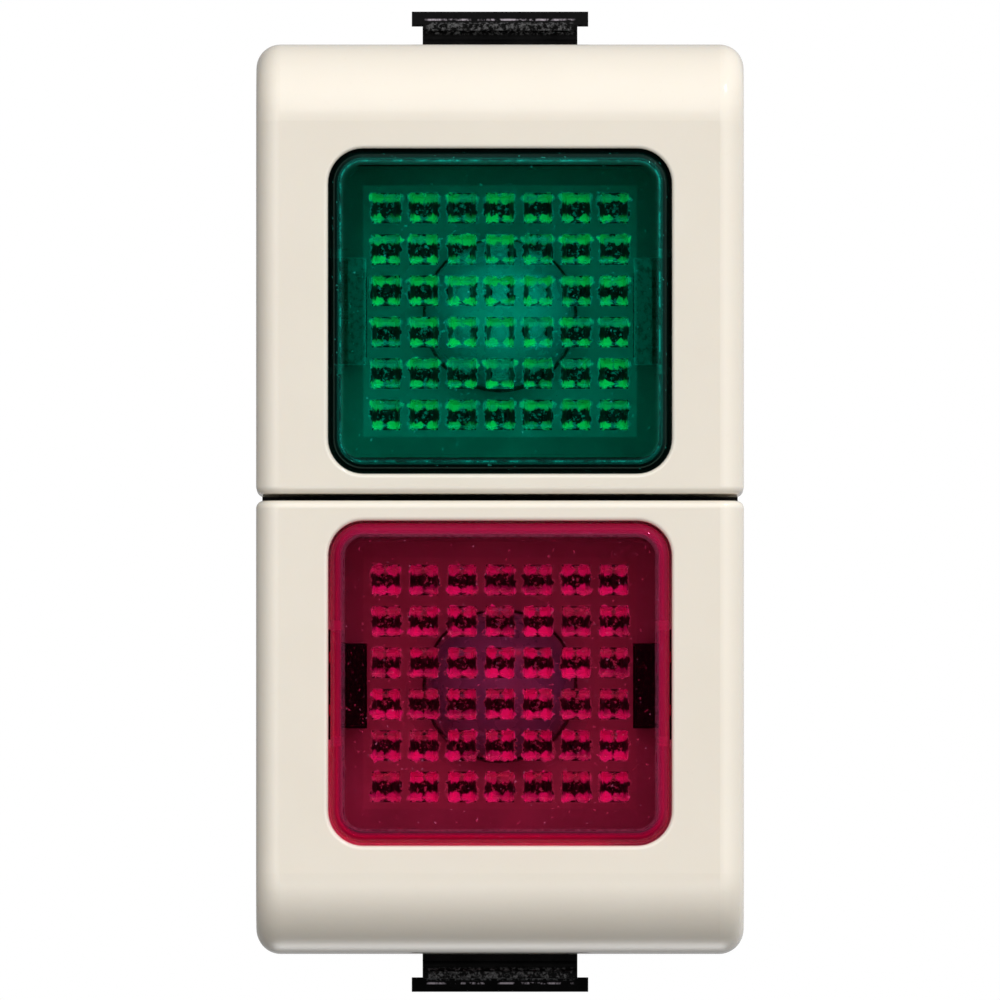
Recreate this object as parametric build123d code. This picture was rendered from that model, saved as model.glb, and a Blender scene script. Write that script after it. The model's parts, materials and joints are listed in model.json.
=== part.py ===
"""Two-lens indicator module for a 22.5 x 45 mm wiring-device frame.

Two snap-on cap halves, one above the other, each hold a push-in prism lens in front of a small bayonet
lamp. A black housing carries the caps and the latch tongues, and a rear base holds four cage terminals.

Frame, in millimetres: +X to the right, +Z up, and the face looks along -Y. The origin is the middle of
the module in its seating plane, where the rear rim of the caps meets the housing flange.
Everything about one lamp is drawn for the upper unit. The lower unit is the same thing, turned half a
turn about Y.
"""

from build123d import *
import math
import os

# ---- caps ---------------------------------------------------------------------------------------
cap_width = 22.3
cap_height = 20.65
cap_depth = 7.5
cap_gap = 0.30                # black gap between the two caps
cap_wall = 1.2                # side and outer end walls
cap_front = 1.6               # front wall
end_roll = 3.6                # radius that rolls the outer end over
side_round = 1.1              # radius along the sides and outer corners
gap_round = 0.35              # radius along the edge at the gap
window_round = 0.2            # radius on the window's front edge

# ---- window and its collar ----------------------------------------------------------------------
window_width = 15.7
window_height = 14.85
window_corner = 1.6
window_margin = 0.93          # from the cap's gap edge to the window
collar_wall = 0.9
seat_depth = 3.8              # from the cap's face to the ledge that the lens rests on
ledge_width = 0.55
ledge_thickness = 0.8

# ---- lens ---------------------------------------------------------------------------------------
lens_clearance = 0.10         # lens to window, each side
lens_proud = 0.2              # lens face in front of the cap's face
lens_plate = 1.4
lens_skirt = 0.8
lens_round = 0.65
pad_margin_x = 1.6            # studded pad inside the window, at the sides
pad_margin_z = 1.675          # and at its top and bottom
pad_corner = 0.6
pad_rise = 0.3
stud_columns = 7
stud_rows = 6
stud_margin_x = 0.399         # outermost studs inside the pad, at the sides
stud_margin_z = 0.32          # and at its top and bottom
stud_width = 1.28
stud_height = 1.40
stud_rise = 0.8
stud_taper = 16               # degrees from the lens axis
dimple_radius = 0.5           # shallow round hollow in each stud's end
dimple_depth = 0.1
arm_width = 4.85              # lens side arm, along Z
arm_length = 5.3              # from the lens face to the arm's end
slit = 0.45                   # slot each side of an arm
grip_rise = 0.06              # friction ribs on an arm, less than the lens clearance
grip_width = 0.5

# ---- cap hooks ----------------------------------------------------------------------------------
hook_width = 4.0              # along Z
hook_thickness = 1.0
hook_inset = 1.55             # cap side to the hook's outer face
hook_barb = 0.25
hook_reach = 4.0              # behind the seating plane
hook_clearance = 0.12

# ---- front housing ------------------------------------------------------------------------------
flange_inset = 0.25           # flange inside the caps' outline, at the sides
flange_end_inset = 0.3        # and at the ends
flange_depth = 2.4
body_inset = 0.55             # body inside the caps' outline, at the sides
body_end_inset = 2.0          # and at the ends
body_corner = 0.8
chamber_inset = 0.25          # lamp chamber inside the window, at the sides
chamber_end_inset = 0.525     # and at its top and bottom
chamber_corner = 1.0
floor_thickness = 1.5
pin_room = 1.5                # bayonet pin behind the chamber floor
post_width = 1.4              # black posts behind the lens arms, along X
post_height = 3.7
post_gap = 0.4                # post to the lens arm
post_step = 0.3               # post inside the chamber wall, ahead of the seating plane
well_clearance = 0.2          # socket flange to the round well behind the floor

# ---- reflectors around the lamps ----------------------------------------------------------------
reflector_clearance = 0.1     # reflector to the chamber's walls and posts
reflector_front = 0.5         # reflector's face behind the seating plane
reflector_plate = 1.0
reflector_bore_gap = 0.15     # lamp glass to the reflector's bore
reflector_pocket_gap = 1.9    # lamp glass to the round pocket behind the plate
reflector_dish = 0.3          # depth of the cone around the bore
reflector_dish_width = 0.8    # and its width

# ---- lamp, T6.8 glass on a 7 mm bayonet base ----------------------------------------------------
lamp_gap = 0.7                # lens studs to the lamp's front
lamp_length = 20.0
glass_radius = 3.4
glass_wall = 0.5
glass_neck_gap = 0.05         # glass neck inside the metal base
glass_neck_length = 2.5
lamp_base_from_end = 11.0     # lamp's rear end to the front edge of its metal base
lamp_base_radius = 3.5
lamp_base_wall = 0.3
lamp_base_length = 9.5
bead_depth = 1.2              # insulating bead inside the metal base
bead_rim = 0.4                # bead around the contact button
pin_from_end = 4.5
pin_radius = 0.5
pin_reach = 0.7               # each pin beyond the metal base
button_radius = 1.2
button_length = 0.7
button_round = 0.3
filament_wire = 0.12
filament_reach = 1.4          # lamp axis to each support wire
twist = 60                    # degrees from locked to the entry slots

# ---- lampholder ---------------------------------------------------------------------------------
socket_clearance = 0.1        # lamp base to socket
socket_wall = 0.5
socket_reach = 1.0            # socket tube in front of the chamber floor
socket_tail = 0.5             # socket tube behind the lamp's end
socket_flange_width = 1.1     # flange beyond the socket tube
socket_flange = 0.6
slot_clearance = 0.1          # bayonet pin to its slot
throat_clearance = 0.3        # bayonet pin to the hole in the chamber floor
disc_gap = 0.1                # lamp button to the disc's spigot
disc_flange = 1.2
disc_clearance = 0.05
plunger_radius = 1.0
plunger_gap = 0.03            # plunger to the lamp's button, which turns
plunger_float = 0.08          # disc to the plunger's collar
plunger_collar_radius = 1.6
plunger_collar = 0.5
spring_length = 1.22
spring_radius = 1.25
spring_wire = 0.15
spring_turns = 2.5
spring_clearance = 0.02
lug_thickness = 1.0           # soldered lug beside the socket, along X
lug_overlap = 0.2             # how far the lug wraps the socket's round side
lug_length = 6.5
lug_clearance = 0.08          # lug's outer corners to the round well

# ---- terminals ----------------------------------------------------------------------------------
strip_thickness = 0.8
strip_width = 3.6
channel_clearance = 0.1       # strip to its channel in the rear base
end_wall = 2.1                # rear base, outside a terminal bay
rib_half = 2.3                # half the rib between two terminal bays, at the least
cage_room = 0.3               # socket to the nearest corner of a cage, at the least
cage_length = 4.0             # along Z
cage_wall = 0.8
cage_side_clearance = 0.1     # strip to the cage's sides
jaw_thickness = 1.2
wire_gap = 2.5                # open jaw to the strip
cage_travel = 2.0
nut_gap = 1.2                 # strip to the cage's threaded wall, open
screw_radius = 1.5
screw_tip_gap = 0.05
screw_thread_clearance = 0.05
screw_head_radius = 2.4
screw_head = 1.5
screw_head_round = 0.3
screw_slot_width = 0.7
screw_slot_depth = 0.8
screw_clearance = 0.1         # screw to the rear base
screw_recess = 0.8            # screw head below the rear face
cage_clearance = 0.2
jaw_clearance = 0.3           # open jaw to the front housing
seat_plate = 0.8
wire_hole_radius = 1.2

# ---- rivets -------------------------------------------------------------------------------------
rivet_radius = 0.8
rivet_clearance = 0.03
rivet_head_radius = 1.35
rivet_head = 0.5
rivet_recess_clearance = 0.1
side_rivet_x = 7.0

# ---- latch tongues ------------------------------------------------------------------------------
tongue_width = 7.1
tongue_leaf = 0.8
tongue_front = 1.0
tongue_clearance = 0.25
press_room = 1.1              # leaf to the housing, for pressing the tongue in
head_depth = 3.2
neck_reach = 1.1              # neck beyond the cap's end
nose_rise = 0.6
nose_width = 8.1
nose_front = 1.9
nose_depth = 1.6
nose_slope = 0.35
nose_skirt = 0.05             # how far the nose bar reaches down over the neck
knuckle_radius = 0.75
knuckle_clearance = 0.05
knuckle_cover = 0.05          # seat block above the knuckle
seat_depth_y = 3.0            # knuckle axis to the back of its seat block
grip_groove = 0.25            # round groove across the head's front

# ---- places worked out from the values above ----------------------------------------------------
axis_z = cap_gap / 2 + window_margin + window_height / 2
face_y = -cap_depth
ledge_y = face_y + seat_depth
cap_half = cap_width / 2
cavity_half = cap_half - cap_wall
cap_low_z = cap_gap / 2
cap_high_z = cap_low_z + cap_height
hook_outer = cap_half - hook_inset
hook_inner = hook_outer - hook_thickness

glass_neck_radius = lamp_base_radius - lamp_base_wall - glass_neck_gap
pin_tip = lamp_base_radius + pin_reach
lens_face_y = face_y - lens_proud
plate_back_y = lens_face_y + lens_plate
pad_back_y = plate_back_y + pad_rise
arm_end_y = lens_face_y + arm_length
lens_width = window_width - 2 * lens_clearance
lens_height = window_height - 2 * lens_clearance
lens_corner = window_corner - lens_clearance
pad_width = window_width - 2 * pad_margin_x
pad_height = window_height - 2 * pad_margin_z
stud_pitch_x = (pad_width - 2 * stud_margin_x - stud_width) / (stud_columns - 1)
stud_pitch_z = (pad_height - 2 * stud_margin_z - stud_height) / (stud_rows - 1)

lamp_front_y = pad_back_y + stud_rise + lamp_gap
dome_y = lamp_front_y + glass_radius
lamp_end_y = lamp_front_y + lamp_length
button_y = lamp_end_y - button_length
lamp_base_y = lamp_end_y - lamp_base_from_end
lamp_base_end_y = lamp_base_y + lamp_base_length
pin_y = lamp_end_y - pin_from_end

floor_back_y = pin_y - pin_room
chamber_depth = floor_back_y - floor_thickness
chamber_width = window_width - 2 * chamber_inset
chamber_height = window_height - 2 * chamber_end_inset
flange_width = cap_width - 2 * flange_inset
flange_height = 2 * (cap_high_z - flange_end_inset)
body_width = cap_width - 2 * body_inset
base_end = cap_high_z - body_end_inset
body_height = 2 * base_end
post_front_y = arm_end_y + post_gap
throat_radius = pin_tip + throat_clearance

socket_inner = lamp_base_radius + socket_clearance
socket_outer = socket_inner + socket_wall
socket_flange_radius = socket_outer + socket_flange_width
lug_outer = socket_outer + lug_thickness - channel_clearance
lug_reach = math.hypot(lug_outer, strip_width / 2)
well_radius = max(socket_flange_radius + well_clearance, lug_reach + lug_clearance)
socket_front_y = chamber_depth - socket_reach
socket_rear_y = lamp_end_y + socket_tail
disc_front_y = lamp_end_y + disc_gap
disc_back_y = socket_rear_y + disc_flange
plunger_y = lamp_end_y + plunger_gap
collar_y = disc_back_y + plunger_float
collar_back_y = collar_y + plunger_collar

strip_y = collar_back_y + spring_length
strip_back_y = strip_y + strip_thickness
strip_half = strip_width / 2
cage_inner_half = strip_half + cage_side_clearance
cage_outer_half = cage_inner_half + cage_wall
jaw_back_y = strip_y - wire_gap
jaw_front_y = jaw_back_y - jaw_thickness
nut_y = strip_back_y + nut_gap
nut_back_y = nut_y + jaw_thickness
seat_y = nut_back_y + cage_travel + cage_clearance
head_seat_y = seat_y + seat_plate
joint_y = jaw_front_y - jaw_clearance
rear_y = head_seat_y + screw_head + screw_recess
terminal_z = base_end - end_wall - cage_clearance - cage_length / 2
cage_low_z = terminal_z - cage_length / 2
cage_high_z = terminal_z + cage_length / 2
socket_room = math.sqrt(max((socket_outer + cage_room) ** 2 - (cage_low_z - axis_z) ** 2, 0))
terminal_x = max(rib_half + cage_clearance, socket_room) + cage_outer_half

end_rivet_z = (axis_z + chamber_height / 2 + base_end) / 2
pivot_y = joint_y - seat_depth_y
pivot_z = base_end + press_room + tongue_leaf / 2
neck_top = cap_high_z + neck_reach
nose_top = neck_top + nose_rise
side = 60                     # longer than any piece, for cutting tools


def block(x0, x1, y0, y1, z0, z1):
    """A box between two corners."""
    centre = Pos((x0 + x1) / 2, (y0 + y1) / 2, (z0 + z1) / 2)
    return centre * Box(abs(x1 - x0), abs(y1 - y0), abs(z1 - z0))


def rod(radius, y0, y1, x=0.0, z=0.0):
    """A round rod along Y."""
    return Pos(x, (y0 + y1) / 2, z) * Rot(90, 0, 0) * Cylinder(radius, y1 - y0)


def cross_rod(radius, x0, x1, y, z):
    """A round rod along X."""
    return Pos((x0 + x1) / 2, y, z) * Rot(0, 90, 0) * Cylinder(radius, x1 - x0)


def prism(width, height, corner, y0, y1, z=0.0):
    """A rounded rectangle in X and Z, extruded along Y and centred on x = 0."""
    return Pos(0, y1, z) * Rot(90, 0, 0) * extrude(RectangleRounded(width, height, corner), y1 - y0)


def revolved(outline, z=0.0):
    """A closed outline of (radius, y) points, turned about the lamp axis."""
    face = make_face(Polyline([(r, y, 0) for r, y in outline], close=True))
    return Pos(0, 0, z) * revolve(face, Axis.Y)


def lower(shape):
    """The lower unit's copy of an upper piece."""
    return Rot(0, 180, 0) * shape


def save(name, shape, colour):
    """Writes one node."""
    shape.label = name
    shape.color = Color(*colour)
    export_step(shape, f"parts/{name}.step")


# ---- caps ---------------------------------------------------------------------------------------
def cap_skin():
    """The cap's outer form: a block whose outer end rolls over, with rounded sides."""
    skin = block(-cap_half, cap_half, face_y, 0, cap_low_z, cap_high_z)
    top_edges = skin.edges().filter_by(Axis.X).group_by(Axis.Z)[-1]
    skin = fillet(top_edges.sort_by(Axis.Y)[0], end_roll)
    sides = [e for e in skin.edges() if on_side(e) and e.center().Y < 0 and e.center().Z > cap_low_z]
    skin = fillet([e for e in sides if not is_rear(e)], side_round)
    gap_edges = [e for e in skin.edges() if abs(e.bounding_box().max.Z - cap_low_z) < 1e-4]
    return fillet([e for e in gap_edges if not is_rear(e)], gap_round)


def on_side(edge):
    """Does the edge lie in one of the cap's flat sides?"""
    return abs(abs(edge.center().X) - cap_half) < 1e-4 and edge.bounding_box().size.X < 1e-4


def is_rear(edge):
    """Does the edge lie in the cap's rear plane?"""
    return edge.bounding_box().min.Y > -1e-4


def cap_cavity():
    """The hollow behind the cap's front wall, open to the rear."""
    cavity = block(
        -cavity_half, cavity_half, face_y + cap_front, 1, cap_low_z + window_margin, cap_high_z - cap_wall
    )
    top_edges = cavity.edges().filter_by(Axis.X).group_by(Axis.Z)[-1]
    return fillet(top_edges.sort_by(Axis.Y)[0], end_roll - cap_wall)


def cap_hook(sign):
    """One hook: a rib on the cap's side wall that runs on as a springy arm with a barb."""
    z0 = axis_z - hook_width / 2
    z1 = axis_z + hook_width / 2
    rib = block(hook_inner, cavity_half, face_y + cap_front, -cap_wall, z0, z1)
    arm = block(hook_inner, hook_outer, -cap_wall, hook_reach, z0, z1)
    tip = hook_reach - 4 * hook_barb
    outline = Polyline(
        [(hook_outer, tip, z0), (hook_outer + hook_barb, tip + hook_barb, z0), (hook_outer, hook_reach, z0)],
        close=True,
    )
    barb = extrude(make_face(outline), hook_width, dir=(0, 0, 1))
    hook = rib + arm + barb
    return hook if sign > 0 else mirror(hook, Plane.YZ)


def make_cap():
    """The upper cap: skin, hollow, window with a seat for the lens, and two hooks."""
    skin = cap_skin()
    collar = prism(
        window_width + 2 * collar_wall,
        window_height + 2 * collar_wall,
        window_corner + collar_wall,
        face_y + cap_front / 2,
        ledge_y + ledge_thickness,
        axis_z,
    )
    cap = skin - cap_cavity() + (collar & skin)
    cap += cap_hook(1) + cap_hook(-1)
    cap -= prism(window_width, window_height, window_corner, face_y - 1, ledge_y, axis_z)
    cap -= prism(
        window_width - 2 * ledge_width,
        window_height - 2 * ledge_width,
        window_corner - ledge_width,
        ledge_y - 1,
        1,
        axis_z,
    )
    notch_half = arm_width / 2 + lens_clearance
    cap -= block(
        -window_width / 2,
        window_width / 2,
        ledge_y - 1,
        ledge_y + ledge_thickness + 1,
        axis_z - notch_half,
        axis_z + notch_half,
    )
    rim = [e for e in cap.edges() if is_window_rim(e)]
    return fillet(rim, window_round)


def is_window_rim(edge):
    """Is the edge part of the window's front rim?"""
    box = edge.bounding_box()
    in_face = box.max.Y - face_y < 1e-4
    inside = box.max.X < window_width / 2 + 1e-3 and box.min.X > -window_width / 2 - 1e-3
    return in_face and inside and box.min.Z > axis_z - window_height / 2 - 1e-3


# ---- lenses -------------------------------------------------------------------------------------
def lens_stud():
    """One prism stud on the back of the lens, with a round dimple in its end."""
    stud = extrude(Rectangle(stud_width, stud_height), stud_rise, taper=stud_taper)
    return stud - Pos(0, 0, stud_rise + dimple_radius - dimple_depth) * Sphere(dimple_radius)


def lens_studs():
    """The 7 by 6 grid of studs, pointing along +Y."""
    stud = Rot(-90, 0, 0) * lens_stud()
    grid = []
    for column in range(stud_columns):
        for row in range(stud_rows):
            x = (column - (stud_columns - 1) / 2) * stud_pitch_x
            z = axis_z + (row - (stud_rows - 1) / 2) * stud_pitch_z
            grid.append(Pos(x, pad_back_y, z) * stud)
    return grid


def lens_arm():
    """A springy side arm on +X, with two friction ribs."""
    z0 = axis_z - arm_width / 2
    outer = lens_width / 2
    arm = block(outer - lens_skirt, outer, lens_face_y + lens_round, arm_end_y, z0, z0 + arm_width)
    for z in (axis_z - arm_width / 4, axis_z + arm_width / 4):
        rib_low = z - grip_width / 2
        rib = block(outer, outer + grip_rise, plate_back_y, ledge_y, rib_low, rib_low + grip_width)
        arm += rib
    return arm


def make_lens():
    """A rounded tray with a studded pad behind its face and a springy arm at each side."""
    tray = prism(lens_width, lens_height, lens_corner, lens_face_y, ledge_y, axis_z)
    tray = fillet(tray.faces().sort_by(Axis.Y)[0].edges(), lens_round)
    tray -= prism(
        lens_width - 2 * lens_skirt,
        lens_height - 2 * lens_skirt,
        lens_corner - lens_skirt,
        plate_back_y,
        ledge_y + 1,
        axis_z,
    )
    slot_half = arm_width / 2 + slit
    tray -= block(-side, side, plate_back_y, ledge_y + 1, axis_z - slot_half, axis_z + slot_half)
    arm = lens_arm()
    tray += arm + mirror(arm, Plane.YZ)
    tray += prism(pad_width, pad_height, pad_corner, lens_face_y + lens_round, pad_back_y, axis_z)
    return tray.fuse(*lens_studs())


# ---- front housing ------------------------------------------------------------------------------
def rivet_places():
    """Where the four rivets stand, as (x, z)."""
    return [(side_rivet_x, 0), (-side_rivet_x, 0), (0, end_rivet_z), (0, -end_rivet_z)]


def housing_cuts():
    """What the upper unit takes out of the front housing."""
    chamber = prism(chamber_width, chamber_height, chamber_corner, -1, chamber_depth, axis_z)
    well = rod(well_radius, floor_back_y, joint_y + 1, z=axis_z)
    throat = rod(throat_radius, chamber_depth - 1, floor_back_y + 1, z=axis_z)
    slot_half = hook_width / 2 + hook_clearance
    slot = block(
        hook_inner - hook_clearance,
        hook_outer + hook_barb + hook_clearance,
        -1,
        hook_reach + 2 * hook_clearance,
        axis_z - slot_half,
        axis_z + slot_half,
    )
    notch_half = tongue_width / 2 + tongue_clearance
    notch = block(-notch_half, notch_half, -1, flange_depth + 1, base_end, side / 2)
    return chamber + well + throat + slot + mirror(slot, Plane.YZ) + notch


def housing_posts():
    """The two posts that stand on the chamber's side walls, behind the lens arms."""
    wall_x = chamber_width / 2
    low = axis_z - post_height / 2
    high = axis_z + post_height / 2
    post = block(wall_x - post_width, wall_x + post_step, 0, floor_back_y, low, high)
    post += block(wall_x - post_width, wall_x - post_step, post_front_y, floor_back_y, low, high)
    return post + mirror(post, Plane.YZ)


def tongue_seat():
    """The block behind a tongue, hollowed to hold its round knuckle."""
    half = tongue_width / 2
    top = pivot_z + knuckle_radius + knuckle_cover
    seat = block(-half, half, pivot_y + knuckle_radius / 2, joint_y, base_end - knuckle_radius, top)
    return seat - cross_rod(knuckle_radius + knuckle_clearance, -side, side, pivot_y, pivot_z)


def rivet_holes():
    """Clearance holes and head recesses for the four rivets."""
    holes = []
    head_r = rivet_head_radius + rivet_recess_clearance
    head_depth_y = rivet_head + rivet_recess_clearance
    for x, z in rivet_places():
        holes.append(rod(rivet_radius + rivet_clearance, -1, rear_y + 1, x, z))
        holes.append(rod(head_r, -1, head_depth_y, x, z))
        holes.append(rod(head_r, rear_y - head_depth_y, rear_y + 1, x, z))
    return holes


def make_front_housing():
    """Flange and body with two lamp chambers, hook slots, posts and tongue seats."""
    flange = prism(flange_width, flange_height, body_corner, 0, flange_depth)
    housing = flange + prism(body_width, body_height, body_corner, 0, joint_y)
    cuts = housing_cuts()
    housing = housing - cuts - lower(cuts)
    extras = housing_posts() + tongue_seat()
    housing = housing + extras + lower(extras)
    for hole in rivet_holes():
        housing -= hole
    return housing


# ---- reflectors ---------------------------------------------------------------------------------
def make_reflector():
    """A pale block that fills the chamber around the lamp, dished in front and pocketed behind."""
    width = chamber_width - 2 * reflector_clearance
    height = chamber_height - 2 * reflector_clearance
    corner = chamber_corner - reflector_clearance
    bore = glass_radius + reflector_bore_gap
    dish = bore + reflector_dish_width
    pocket = glass_radius + reflector_pocket_gap
    block_form = prism(width, height, corner, reflector_front, chamber_depth, axis_z)
    block_form -= rod(bore, reflector_front - 1, chamber_depth + 1, z=axis_z)
    block_form -= rod(pocket, reflector_front + reflector_plate, chamber_depth + 1, z=axis_z)
    cone = [
        (0, reflector_front),
        (dish, reflector_front),
        (bore, reflector_front + reflector_dish),
        (0, reflector_front + reflector_dish),
    ]
    block_form -= revolved(cone, axis_z)
    post_x = chamber_width / 2 - post_width - reflector_clearance
    post_half = post_height / 2 + reflector_clearance
    cut = block(post_x, side, -1, chamber_depth + 1, axis_z - post_half, axis_z + post_half)
    return block_form - cut - mirror(cut, Plane.YZ)


# ---- rear base ----------------------------------------------------------------------------------
def terminal_bay(x):
    """One terminal's bay: cage pocket, strip channel, screw hole, head recess and wire entry."""
    half = cage_outer_half + cage_clearance
    low = cage_low_z - cage_clearance
    high = cage_high_z + cage_clearance
    bay = block(x - half, x + half, joint_y - 1, seat_y, low, high)
    channel_half = strip_half + channel_clearance
    channel_low = axis_z - channel_half
    bay += block(x - channel_half, x + channel_half, joint_y - 1, strip_back_y, channel_low, low + 1)
    bay += rod(screw_radius + screw_clearance, seat_y - 1, rear_y + 1, x, terminal_z)
    bay += rod(screw_head_radius + screw_clearance, head_seat_y, rear_y + 1, x, terminal_z)
    wire_y = (jaw_back_y + strip_y) / 2
    entry_length = base_end - high + 2
    entry = Cylinder(wire_hole_radius, entry_length)
    return bay + Pos(x, wire_y, high - 1 + entry_length / 2) * entry


def make_rear_base():
    """The rear moulding, with a well behind each lampholder and four terminal bays."""
    base = prism(body_width, body_height, body_corner, joint_y, rear_y)
    well = rod(well_radius, joint_y - 1, strip_back_y, z=axis_z)
    foot_half = strip_half + channel_clearance
    foot = block(0, terminal_x, joint_y, strip_back_y, axis_z - foot_half, axis_z + foot_half)
    cuts = well + foot + terminal_bay(terminal_x) + terminal_bay(-terminal_x)
    base = base - cuts - lower(cuts)
    for hole in rivet_holes():
        base -= hole
    return base


# ---- lamp ---------------------------------------------------------------------------------------
def make_lamp_glass():
    """A thin glass tube with a domed front and a neck that sits in the metal base."""
    neck_end_y = lamp_base_y + glass_neck_length
    inner = glass_radius - glass_wall
    glass = rod(glass_radius, dome_y, lamp_base_y, z=axis_z)
    glass += Pos(0, dome_y, axis_z) * Sphere(glass_radius)
    glass += rod(glass_neck_radius, lamp_base_y, neck_end_y, z=axis_z)
    glass -= rod(inner, dome_y, neck_end_y - glass_wall, z=axis_z)
    return glass - Pos(0, dome_y, axis_z) * Sphere(inner)


def make_lamp_base():
    """The lamp's metal base: a thin tube with two bayonet pins."""
    inner = lamp_base_radius - lamp_base_wall
    tube = rod(lamp_base_radius, lamp_base_y, lamp_base_end_y, z=axis_z)
    pins = cross_rod(pin_radius, -pin_tip, pin_tip, pin_y, axis_z)
    return tube + pins - rod(inner, lamp_base_y - 1, lamp_base_end_y + 1, z=axis_z)


def make_lamp_insulator():
    """The glass bead that closes the lamp's base, coned towards the contact button."""
    inner = lamp_base_radius - lamp_base_wall
    outline = [
        (0, lamp_base_end_y - bead_depth),
        (inner, lamp_base_end_y - bead_depth),
        (inner, lamp_base_end_y),
        (button_radius + bead_rim, button_y),
        (0, button_y),
    ]
    return revolved(outline, axis_z)


def make_lamp_button():
    """The solder button at the lamp's end."""
    button = rod(button_radius, button_y, lamp_end_y, z=axis_z)
    return fillet(button.faces().sort_by(Axis.Y)[-1].edges(), button_round)


def make_lamp_filament():
    """Two support wires up from the glass stem, and the filament across them."""
    foot_y = lamp_base_y + glass_neck_length - glass_wall
    post = rod(filament_wire, dome_y, foot_y, filament_reach, axis_z)
    bar = cross_rod(filament_wire * 1.5, -filament_reach, filament_reach, dome_y + filament_wire, axis_z)
    return post + mirror(post, Plane.YZ) + bar


# ---- lampholder ---------------------------------------------------------------------------------
def bayonet_sector(inner, outer, y0, y1):
    """The ring sector that a pin sweeps as the lamp turns from locked to the entry slot."""
    spread = pin_radius + slot_clearance
    ring = rod(outer, y0, y1) - rod(inner, y0 - 1, y1 + 1)
    # a half plane's edge at each end of the sweep, wider by the pin's own half width
    keep_low = block(-side, side, y0 - 1, y1 + 1, -spread, side)
    keep_high = Rot(0, -twist, 0) * block(-side, side, y0 - 1, y1 + 1, -side, spread)
    return ring & keep_low & keep_high


def bayonet_slot():
    """One J-shaped slot: in along Y at the twist angle, then round to the locked place at +X."""
    spread = pin_radius + slot_clearance
    inner = socket_inner - 1
    entry = block(inner, throat_radius, socket_front_y - 1, pin_y + spread, -spread, spread)
    turn = bayonet_sector(inner, throat_radius, pin_y - spread, pin_y + spread)
    right_half = block(0, side, socket_front_y - 1, pin_y + 1, -side, side)
    return Rot(0, -twist, 0) * entry + (turn & right_half)


def make_socket():
    """The brass lampholder tube with a fixing flange and two bayonet slots."""
    tube = rod(socket_outer, socket_front_y, socket_rear_y)
    tube += rod(socket_flange_radius, floor_back_y, floor_back_y + socket_flange)
    tube -= rod(socket_inner, socket_front_y - 1, socket_rear_y + 1)
    slot = bayonet_slot()
    tube = tube - slot - Rot(0, 180, 0) * slot
    return Pos(0, 0, axis_z) * tube


def make_socket_disc():
    """The insulating disc in the rear of the socket, bored for the contact plunger."""
    disc = rod(socket_outer, socket_rear_y, disc_back_y, z=axis_z)
    disc += rod(socket_inner - disc_clearance, disc_front_y, socket_rear_y, z=axis_z)
    bore = plunger_radius + disc_clearance
    return disc - rod(bore, disc_front_y - 1, disc_back_y + 1, z=axis_z)


def make_plunger():
    """The centre contact: a plunger with a collar behind the disc."""
    plunger = rod(plunger_radius, plunger_y, collar_y, z=axis_z)
    return plunger + rod(plunger_collar_radius, collar_y, collar_back_y, z=axis_z)


def make_contact_spring():
    """The small coil spring between the plunger and its terminal strip."""
    margin = spring_wire + spring_clearance
    height = strip_y - collar_back_y - 2 * margin
    path = Helix(height / spring_turns, height, spring_radius)
    section = Plane(origin=path @ 0, z_dir=path % 0) * Circle(spring_wire)
    coil = sweep(section, path=path, is_frenet=True)
    return Pos(0, collar_back_y + margin, axis_z) * Rot(-90, 0, 0) * coil


# ---- terminals ----------------------------------------------------------------------------------
def strip_blade(x):
    """The straight blade of a strip, from the lampholder's level up through its cage."""
    low = axis_z - strip_half
    return block(x - strip_half, x + strip_half, strip_y, strip_back_y, low, cage_high_z)


def make_socket_strip():
    """The strip for the socket: a blade and a lug that is soldered to the tube."""
    low = axis_z - strip_half
    high = axis_z + strip_half
    inner_x = -socket_outer + lug_overlap
    front_y = strip_y - lug_length
    lug = block(-lug_outer, inner_x, front_y, strip_y, low, high)
    lug -= rod(socket_outer, front_y - 1, strip_y, z=axis_z)
    return strip_blade(-terminal_x) + lug


def make_contact_strip():
    """The strip for the centre contact: a foot behind the spring and a blade."""
    low = axis_z - strip_half
    foot = block(-strip_half, terminal_x, strip_y, strip_back_y, low, low + strip_width)
    return strip_blade(terminal_x) + foot


def make_cage(x):
    """A cage clamp: a frame around the strip, threaded in its rear wall."""
    cage = block(
        x - cage_outer_half, x + cage_outer_half, jaw_front_y, nut_back_y, cage_low_z, cage_high_z
    )
    cage -= block(
        x - cage_inner_half, x + cage_inner_half, jaw_back_y, nut_y, cage_low_z - 1, cage_high_z + 1
    )
    return cage - rod(screw_radius + screw_thread_clearance, nut_y - 0.5, nut_back_y + 1, x, terminal_z)


def make_terminal_screw(x):
    """A slotted cheese-head screw whose tip bears on the strip."""
    screw = rod(screw_radius, strip_back_y + screw_tip_gap, head_seat_y, x, terminal_z)
    head = rod(screw_head_radius, head_seat_y, head_seat_y + screw_head, x, terminal_z)
    screw += fillet(head.faces().sort_by(Axis.Y)[-1].edges(), screw_head_round)
    slot_y = head_seat_y + screw_head - screw_slot_depth
    half = screw_slot_width / 2
    return screw - block(x - side, x + side, slot_y, rear_y + 1, terminal_z - half, terminal_z + half)


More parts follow.
